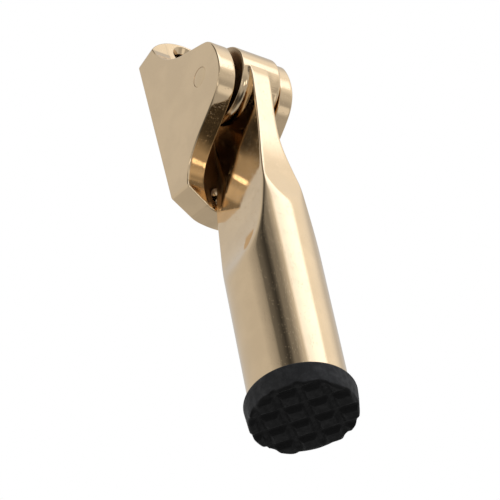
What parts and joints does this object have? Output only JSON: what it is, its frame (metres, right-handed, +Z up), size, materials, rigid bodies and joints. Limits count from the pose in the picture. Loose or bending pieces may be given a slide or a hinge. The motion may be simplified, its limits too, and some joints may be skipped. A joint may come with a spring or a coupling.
{
  "type": "kick-down door holder",
  "caption": "Kick-down door holder: a brass bracket with two ears for the door's face, and a swinging round brass arm with a black rubber foot.",
  "frame": {"origin": "on the bracket's flat back face, which lies on the door, at the height of the pivot and midway between the ears", "axes": "+Y into the door, so the holder stands in front of the door towards -Y; +Z up, along the hanging arm; +X along the pivot pin"},
  "size_m": [0.025, 0.0301, 0.1331],
  "materials": {
    "polished_brass": "polished cast brass",
    "pin_brass": "polished flush with the ear",
    "zinc_plated_steel": "zinc plated",
    "spring_steel": "plain spring steel",
    "black_rubber": "matt moulded rubber"
  },
  "bodies": {
    "bracket": {"bracket": "polished_brass", "pivot_pin": "pin_brass", "washer_left": "zinc_plated_steel", "washer_right": "zinc_plated_steel", "wave_washer": "spring_steel", "brake_plunger": "zinc_plated_steel", "brake_spring": "spring_steel"},
    "arm": {"arm": "polished_brass", "rubber_foot": "black_rubber", "foot_stud": "zinc_plated_steel"}
  },
  "joints": [
    {"name": "arm_swing", "type": "hinge", "parent": "bracket", "child": "arm", "pos_m": [0, -0.0206, 0], "axis": [-1, 0, 0], "range_deg": [0, 188]}
  ]
}
